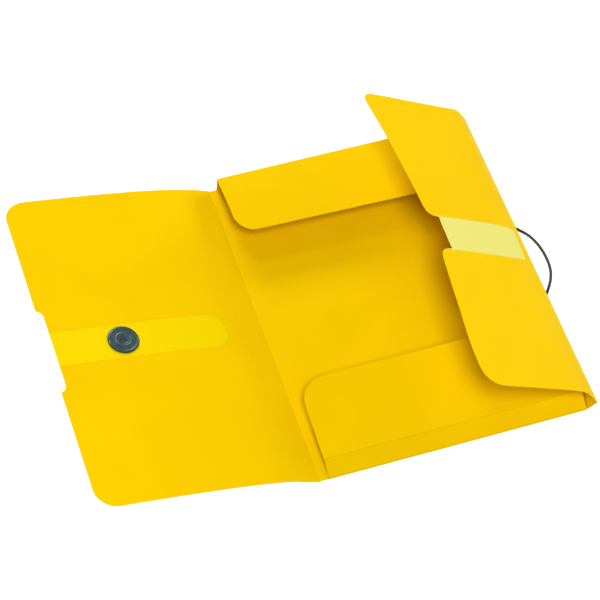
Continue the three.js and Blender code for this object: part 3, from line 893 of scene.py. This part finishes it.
# side flap
head = [(SIDE_FLARE, GAP)]
free = [tuple(q) for q in spaced(catmull(SIDE_FLAP[1:-1], 6), 0.7)]
flap_outline = (head + free + [(SIDE_TOP, GAP)])[::-1]
side_flap = sheet_panel(
    "side_flap_sheet",
    flap_outline,
    lines(-4, 317, 6),
    [1.5, 3, 5, 7, 9, 11, 13, 15, 17, 19, 21, 23, 25, 27.5, 30, 33, 36, 39, 42, 46, 50, 54, 58] + lines(62, 132, 5),
    place_flap,
    lambda a, b: b < GAP + EPS,
)
dress(side_flap, mat_flap, "side_tuck", "side_flap")

# ---- crease strips -------------------------------------------------------------------


def crease_strip(name, axis_point, end_a, end_b, span_a, span_b, along, bulge=0.0):
    """The bent strip of sheet between two panels. end_a and end_b are unit directions from
    the hinge line into each panel, with the panel's distance from the line; span is the
    strip's extent along the crease at each panel. The middle is coined a little thinner."""
    axis_point = np.asarray(axis_point, float)
    along = np.asarray(along, float)
    (da, ga), (db, gb) = end_a, end_b
    da, db = np.asarray(da, float), np.asarray(db, float)
    pa, pb = da * ga, db * gb
    out = da + db
    out = out / np.linalg.norm(out)
    k = 12
    mid = []
    for i in range(k + 1):
        t = i / k
        # a curve from one panel's edge to the other's that turns close to the line
        mid.append((1 - t) ** 3 * pa + t**3 * pb - out * bulge * math.sin(math.pi * t) ** 2)
    tang = []
    for i in range(k + 1):
        t = i / k
        d = 3 * (t**2 * pb - (1 - t) ** 2 * pa) - out * bulge * math.pi * math.sin(2 * math.pi * t)
        tang.append(d / np.linalg.norm(d))
    n_len = max(2, int(round((span_a[1] - span_a[0]) / 6)))
    stations = sorted(
        set([i / n_len for i in range(n_len + 1)])
    )
    verts, faces = [], []
    for u in stations:
        for side in (1, -1):
            for i in range(k + 1):
                t = i / k
                lo = (1 - t) * span_a[0] + t * span_b[0]
                hi = (1 - t) * span_a[1] + t * span_b[1]
                n = np.cross(along, tang[i])
                thick = T / 2 - 0.075 * math.sin(math.pi * t) ** 2
                verts.append(
                    axis_point + along * (lo + (hi - lo) * u) + mid[i] + side * thick * n
                )
    w = k + 1
    ring = 2 * w
    ns = len(stations)
    for j in range(ns - 1):
        a0, a1 = j * ring, (j + 1) * ring
        for i in range(k):
            faces.append([a0 + i, a0 + i + 1, a1 + i + 1, a1 + i])
            faces.append([a0 + w + i, a1 + w + i, a1 + w + i + 1, a0 + w + i + 1])
        faces.append([a0, a1, a1 + w, a0 + w])
        faces.append([a0 + k, a0 + w + k, a1 + w + k, a1 + k])
    for base in (0, (ns - 1) * ring):
        for i in range(k):
            faces.append([base + i, base + w + i, base + w + i + 1, base + i + 1])
    obj = link(name, [row(v) for v in verts], faces, 50)
    # the crease beside the cover keeps the plain sheet colour, without the painted crease shade
    obj.data.materials.append(mat_sheet if name == "cover_crease_strip" else mat_crease_shade)
    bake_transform(obj)
    return obj


Y, X = (0, 1, 0), (1, 0, 0)
full = (0.0, HEIGHT)
crease_strip(
    "spine_crease_strip", (X_SPINE, 0, MID),
    ((1, 0, 0), GAP), (spine_dir, GAP), full, (SPINE_LO, SPINE_HI), Y,
)
c2 = np.array([X_SPINE, 0, MID]) + SPINE_W * np.array(spine_dir)
cover_dir = np.array([cover_walk.at(GAP)[0][0] - c2[0], 0, cover_walk.at(GAP)[0][1] - c2[2]])
crease_strip(
    "cover_crease_strip", c2,
    (-np.array(spine_dir), GAP),
    (cover_dir / np.linalg.norm(cover_dir), float(np.linalg.norm(cover_dir))),
    (SPINE_LO, SPINE_HI), full, Y,
)
crease_strip(
    "top_foot_crease_strip", (0, HEIGHT, MID),
    ((0, -1, 0), GAP), (top_dir / top_h, GAP), TOP_X, TOP_X, X,
)
crease_strip(
    "top_flap_crease_strip", (0, TOP_CREASE[0], TOP_CREASE[1]),
    (-top_dir / top_h, GAP), (top_v, GAP), (TOP_X[0], WALL_END), (0.0, WALL_END), X,
)
crease_strip(
    "bottom_foot_crease_strip", (0, 0, MID),
    ((0, 1, 0), BOTTOM_FOOT), (bottom_dir / bottom_h, BOTTOM_FOOT), BOTTOM_X, BOTTOM_X, X, 0.4,
)
crease_strip(
    "bottom_flap_crease_strip", (0, BOTTOM_CREASE[0], BOTTOM_CREASE[1]),
    (-bottom_dir / bottom_h, GAP), (bottom_v, GAP), (BOTTOM_X[0], WALL_END), (1.0, WALL_END), X,
)
crease_strip(
    "side_foot_crease_strip", (X_SIDE, 0, MID),
    ((-1, 0, 0), GAP), (side_dir / side_h, GAP), (BOTTOM_FOOT, HEIGHT - GAP), full, Y,
)
flap_start = flap_walk(156).at(GAP)[0]
flap_dir = np.array([flap_start[0] - SIDE_CREASE[0], 0, flap_start[1] - SIDE_CREASE[1]])
crease_strip(
    "side_flap_crease_strip", (SIDE_CREASE[0], 0, SIDE_CREASE[1]),
    (-side_dir / side_h, GAP), (flap_dir / np.linalg.norm(flap_dir), GAP),
    (SIDE_FLARE, SIDE_TOP), (SIDE_FLARE, SIDE_TOP), Y,
)

# ---- button --------------------------------------------------------------------------

BUTTON_Y, BUTTON_S = 156.1, 111.8
bp, bn = cover_walk.at(BUTTON_S)
b_u = np.array([bn[1], 0, -bn[0]])
b_v = np.array([0, 1.0, 0])
b_n = np.array([bn[0], 0, bn[1]])
b_o = np.array([bp[0], BUTTON_Y, bp[1]])


def lathe(name, profile, segments=112):
    """A solid of revolution about the button's axis; profile (radius, height), axis to axis."""
    verts, faces = [], []
    rings = []
    for r, h in profile:
        if r < 1e-6:
            rings.append([len(verts)])
            verts.append(b_o + h * b_n)
        else:
            ids = []
            for i in range(segments):
                a = 2 * math.pi * i / segments
                ids.append(len(verts))
                verts.append(b_o + r * math.cos(a) * b_u + r * math.sin(a) * b_v + h * b_n)
            rings.append(ids)
    for a, b in zip(rings[:-1], rings[1:]):
        for i in range(segments):
            j = (i + 1) % segments
            if len(a) == 1:
                faces.append([a[0], b[i], b[j]])
            elif len(b) == 1:
                faces.append([a[i], b[0], a[j]])
            else:
                faces.append([a[i], b[i], b[j], a[j]])
    obj = link(name, [row(v) for v in verts], faces, 38)
    if len(obj.data.vertices) == len(verts):
        d = np.array(verts) - b_o
        flat = d - np.outer(d @ b_n, b_n)
        set_attribute(obj, "rad", np.linalg.norm(flat, axis=1) / 1000.0)
    return obj


D0 = T / 2 + 0.3
DISC_R, DISC_H = 13.8, 1.3
PIN_R, STEM_R, STEM_H, CAP_R, CAP_H = 4.0, 7.5, 3.0, 12.5, 2.8
top = D0 + DISC_H
disc_profile = (
    [(0, D0 + 0.5), (PIN_R + 0.3, D0 + 0.5), (PIN_R + 0.3, D0), (DISC_R - 0.4, D0)]
    + [(DISC_R - 0.4 + 0.4 * math.sin(a), D0 + 0.4 - 0.4 * math.cos(a)) for a in np.linspace(0.2, math.pi / 2, 5)]
    + [(DISC_R - 0.5 + 0.5 * math.cos(a), top - 0.86 + 0.46 * math.sin(a)) for a in np.linspace(0, math.pi / 2 - 0.3, 7)]
    + [(DISC_R - 0.75, top - 0.36), (DISC_R - 1.2, top - 0.2), (DISC_R - 1.6, top - 0.05), (DISC_R - 1.75, top - 0.01)]
    + [(DISC_R - 1.9, top - 0.02), (DISC_R - 2.2, top - 0.13), (DISC_R - 2.7, top - 0.25), (DISC_R - 3.2, top - 0.3)]
    + [(9.4, top - 0.32), (7.7, top - 0.33), (7.3, top - 0.29), (6.95, top - 0.15), (6.65, top - 0.07), (6.4, top - 0.05)]
    + [(6.15, top - 0.07), (5.9, top - 0.14), (5.6, top - 0.25), (5.3, top - 0.29)]
    + [(4.6, top - 0.29), (4.35, top - 0.3), (4.0, top - 0.38), (3.6, top - 0.5), (3.2, top - 0.55), (0, top - 0.56)]
)
disc = lathe("button_inner_disc", disc_profile)
dress(disc, mat_button, "cover", "button_disc")

low = -D0
cap_profile = (
    [(0, D0 + 0.2), (PIN_R - 0.3, D0 + 0.2), (PIN_R - 0.1, D0 + 0.12), (PIN_R, D0 - 0.1), (PIN_R, low)]
    + [(STEM_R - 0.15, low), (STEM_R, low - 0.15), (STEM_R - 0.1, low - 0.45), (STEM_R - 0.5, low - 0.8)]
    + [(STEM_R - 0.6, low - 1.6), (STEM_R - 0.5, low - STEM_H + 0.3), (STEM_R - 0.2, low - STEM_H)]
    + [(CAP_R - 0.5, low - STEM_H), (CAP_R - 0.15, low - STEM_H - 0.12), (CAP_R, low - STEM_H - 0.45)]
    + [(CAP_R - 0.1, low - STEM_H - 0.9), (CAP_R - 0.7, low - STEM_H - 1.5), (CAP_R - 2.0, low - STEM_H - 2.05)]
    + [(CAP_R - 3.6, low - STEM_H - 2.4), (8.4, low - STEM_H - 2.5), (8.0, low - STEM_H - 2.38), (7.2, low - STEM_H - 2.34)]
    + [(6.8, low - STEM_H - 2.5), (5.5, low - STEM_H - 2.66), (3.0, low - STEM_H - 2.77), (0, low - STEM_H - CAP_H)]
)
cap = lathe("button_outer_cap", cap_profile)
dress(cap, mat_button, "cover", "button_cap")

# ---- elastic clips ---------------------------------------------------------------------


def clip(name, y, node):
    """A round bar with domed ends and a short crimped neck that holds the cord."""
    verts, faces = [], []
    cx, cz = 232.3, 2.2
    seg = 28
    prof = [(0.0, -6.0)]
    prof += [(1.1 * math.sin(a), -4.9 - 1.1 * math.cos(a)) for a in np.linspace(0.25, math.pi / 2, 6)]
    prof += [(1.1, -2.2), (1.16, -1.9), (1.16, 1.9), (1.1, 2.2)]
    prof += [(1.1 * math.cos(a), 4.9 + 1.1 * math.sin(a)) for a in np.linspace(0, math.pi / 2 - 0.25, 6)]
    prof += [(0.0, 6.0)]

    def turn(profile, origin, axis, u, v):
        rings = []
        for r, h in profile:
            c = np.asarray(origin, float) + h * np.asarray(axis, float)
            if r < 1e-6:
                rings.append([len(verts)])
                verts.append(c)
            else:
                rings.append(list(range(len(verts), len(verts) + seg)))
                for i in range(seg):
                    a = 2 * math.pi * i / seg
                    verts.append(c + r * (math.cos(a) * np.asarray(u) + math.sin(a) * np.asarray(v)))
        for a, b in zip(rings[:-1], rings[1:]):
            for i in range(seg):
                j = (i + 1) % seg
                if len(a) == 1:
                    faces.append([a[0], b[i], b[j]])
                elif len(b) == 1:
                    faces.append([a[i], b[0], a[j]])
                else:
                    faces.append([a[i], b[i], b[j], a[j]])

    turn(prof, (cx, y, cz), (0, 1.0, 0), (0, 0, 1.0), (1.0, 0, 0))
    neck = [(0, 0.2), (1.2, 0.2), (1.3, 0.6), (1.3, 0.9), (1.12, 1.1), (1.12, 1.3), (1.3, 1.5), (1.3, 2.2), (1.22, 2.4), (0, 2.4)]
    turn(neck, (cx, y, cz), (1.0, 0, 0), (0, 1.0, 0), (0, 0, 1.0))
    obj = link(name, [row(v) for v in verts], faces, 40)
    dress(obj, mat_steel, "back", node)


clip("upper_bar_clip", CORD_PATH[0][1], "elastic_clip_upper")
clip("lower_bar_clip", CORD_PATH[-1][1], "elastic_clip_lower")

# ---- floor and light --------------------------------------------------------------------

floor_mesh = bpy.data.meshes.new("floor")
floor_mesh.from_pydata(
    [(-4, -4, -0.0002), (4, -4, -0.0002), (4, 4, -0.0002), (-4, 4, -0.0002)], [], [[0, 1, 2, 3]]
)
floor = bpy.data.objects.new("floor", floor_mesh)
bpy.context.scene.collection.objects.link(floor)
k = Nodes("floor_white")
k.bsdf.inputs["Roughness"].default_value = 0.9
k.bsdf.inputs["Specular IOR Level"].default_value = 0.1
k.bsdf.inputs["Base Color"].default_value = (0.45, 0.45, 0.45, 1.0)
k.bsdf.inputs["Emission Color"].default_value = (1.0, 1.0, 1.0, 1.0)
k.bsdf.inputs["Emission Strength"].default_value = 0.85
floor_mesh.materials.append(k.mat)

world = bpy.data.worlds.new("studio")
bpy.context.scene.world = world
world.use_nodes = True
bg = world.node_tree.nodes["Background"]
bg.inputs[0].default_value = (1.0, 1.0, 1.0, 1.0)
bg.inputs[1].default_value = 0.16


def area(name, at, aim, size, power, color=(1, 1, 1)):
    data = bpy.data.lights.new(name, "AREA")
    data.shape = "RECTANGLE"
    data.size, data.size_y = size
    data.energy = power
    data.color = color
    obj = bpy.data.objects.new(name, data)
    bpy.context.scene.collection.objects.link(obj)
    obj.location = at
    direction = Vector(aim) - Vector(at)
    obj.rotation_euler = direction.to_track_quat("-Z", "Y").to_euler()
    return obj


area("key", (-0.4, -1.33, 2.36), (0.0, 0.0, 0.0), (0.8, 0.8), 53.3)
area("right", (2.3, 0.2, 1.4), (0.0, 0.0, 0.0), (1.6, 1.2), 5.5)
area("low_right", (2.2, 0.9, 0.6), (0.0, 0.0, 0.0), (1.2, 0.8), 16.5)
area("back", (0.0, 2.6, 1.6), (0.0, 0.0, 0.0), (2.0, 1.0), 46.0)
area("rim", (-0.29, 1.25, 2.15), (-0.25, 0.0, 0.04), (0.25, 0.25), 5.0)

scene = bpy.context.scene
scene.view_settings.view_transform = "Standard"
scene.view_settings.look = "None"
scene.view_settings.exposure = 0.0
scene.view_settings.gamma = 1.0
